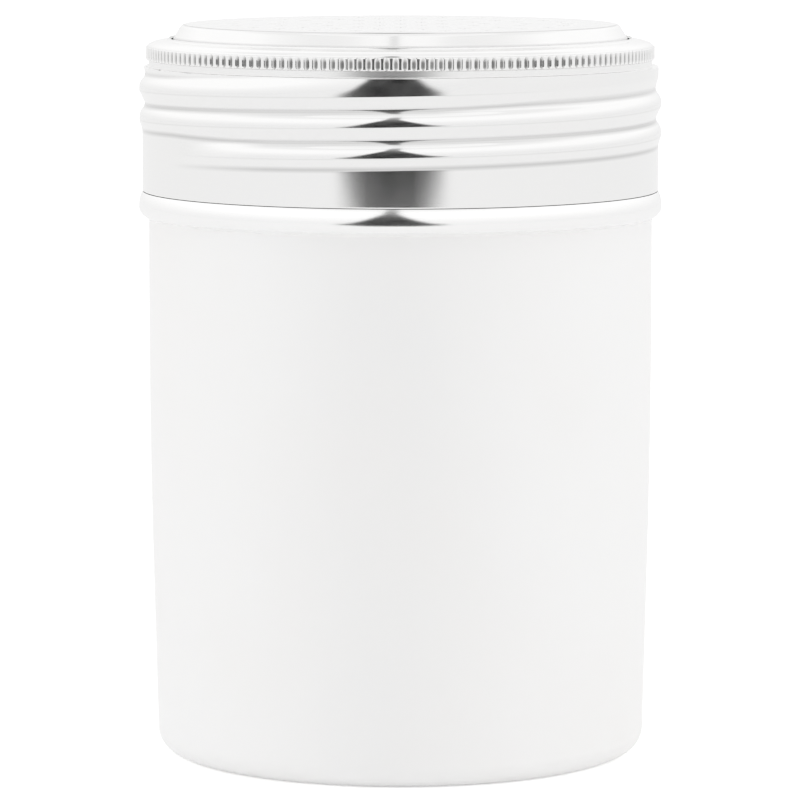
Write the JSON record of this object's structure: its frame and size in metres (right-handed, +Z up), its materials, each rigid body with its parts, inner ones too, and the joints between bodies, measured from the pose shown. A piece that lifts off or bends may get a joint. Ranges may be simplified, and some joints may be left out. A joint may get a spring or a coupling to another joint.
{
  "type": "spice shaker",
  "caption": "Stainless steel spice shaker: a drawn cup with a rolled bead, and a screw ring with a knurled rim that holds a raised, perforated screen.",
  "frame": {"origin": "centre of the circle that the cup stands on", "axes": "+Z up along the common axis of all the pieces, -Y towards the side that the picture shows"},
  "size_m": [0.0702, 0.0702, 0.098],
  "materials": {
    "satin_steel": "satin stainless steel body with a bright rolled bead",
    "screen_steel": "bright annealed stainless steel, punched",
    "polished_steel": "mirror polished stainless steel"
  },
  "bodies": {
    "cup_body": {"cup": "satin_steel"},
    "screen_body": {"shaker_screen": "screen_steel"},
    "ring_body": {"lid_ring": "polished_steel"}
  },
  "joints": [
    {"name": "lid_lift", "type": "slide", "parent": "cup_body", "child": "screen_body", "axis": [0, 0, 1], "range_m": [0, 0.0209]},
    {"name": "lid_turn", "type": "hinge", "parent": "screen_body", "child": "ring_body", "pos_m": [0, 0, 0.0885], "axis": [0, 0, 1], "range_deg": [0, 1890]}
  ],
  "couplings": [
    {"joint": "lid_lift", "follows": "lid_turn", "m_per_rad": 0.00062866}
  ]
}
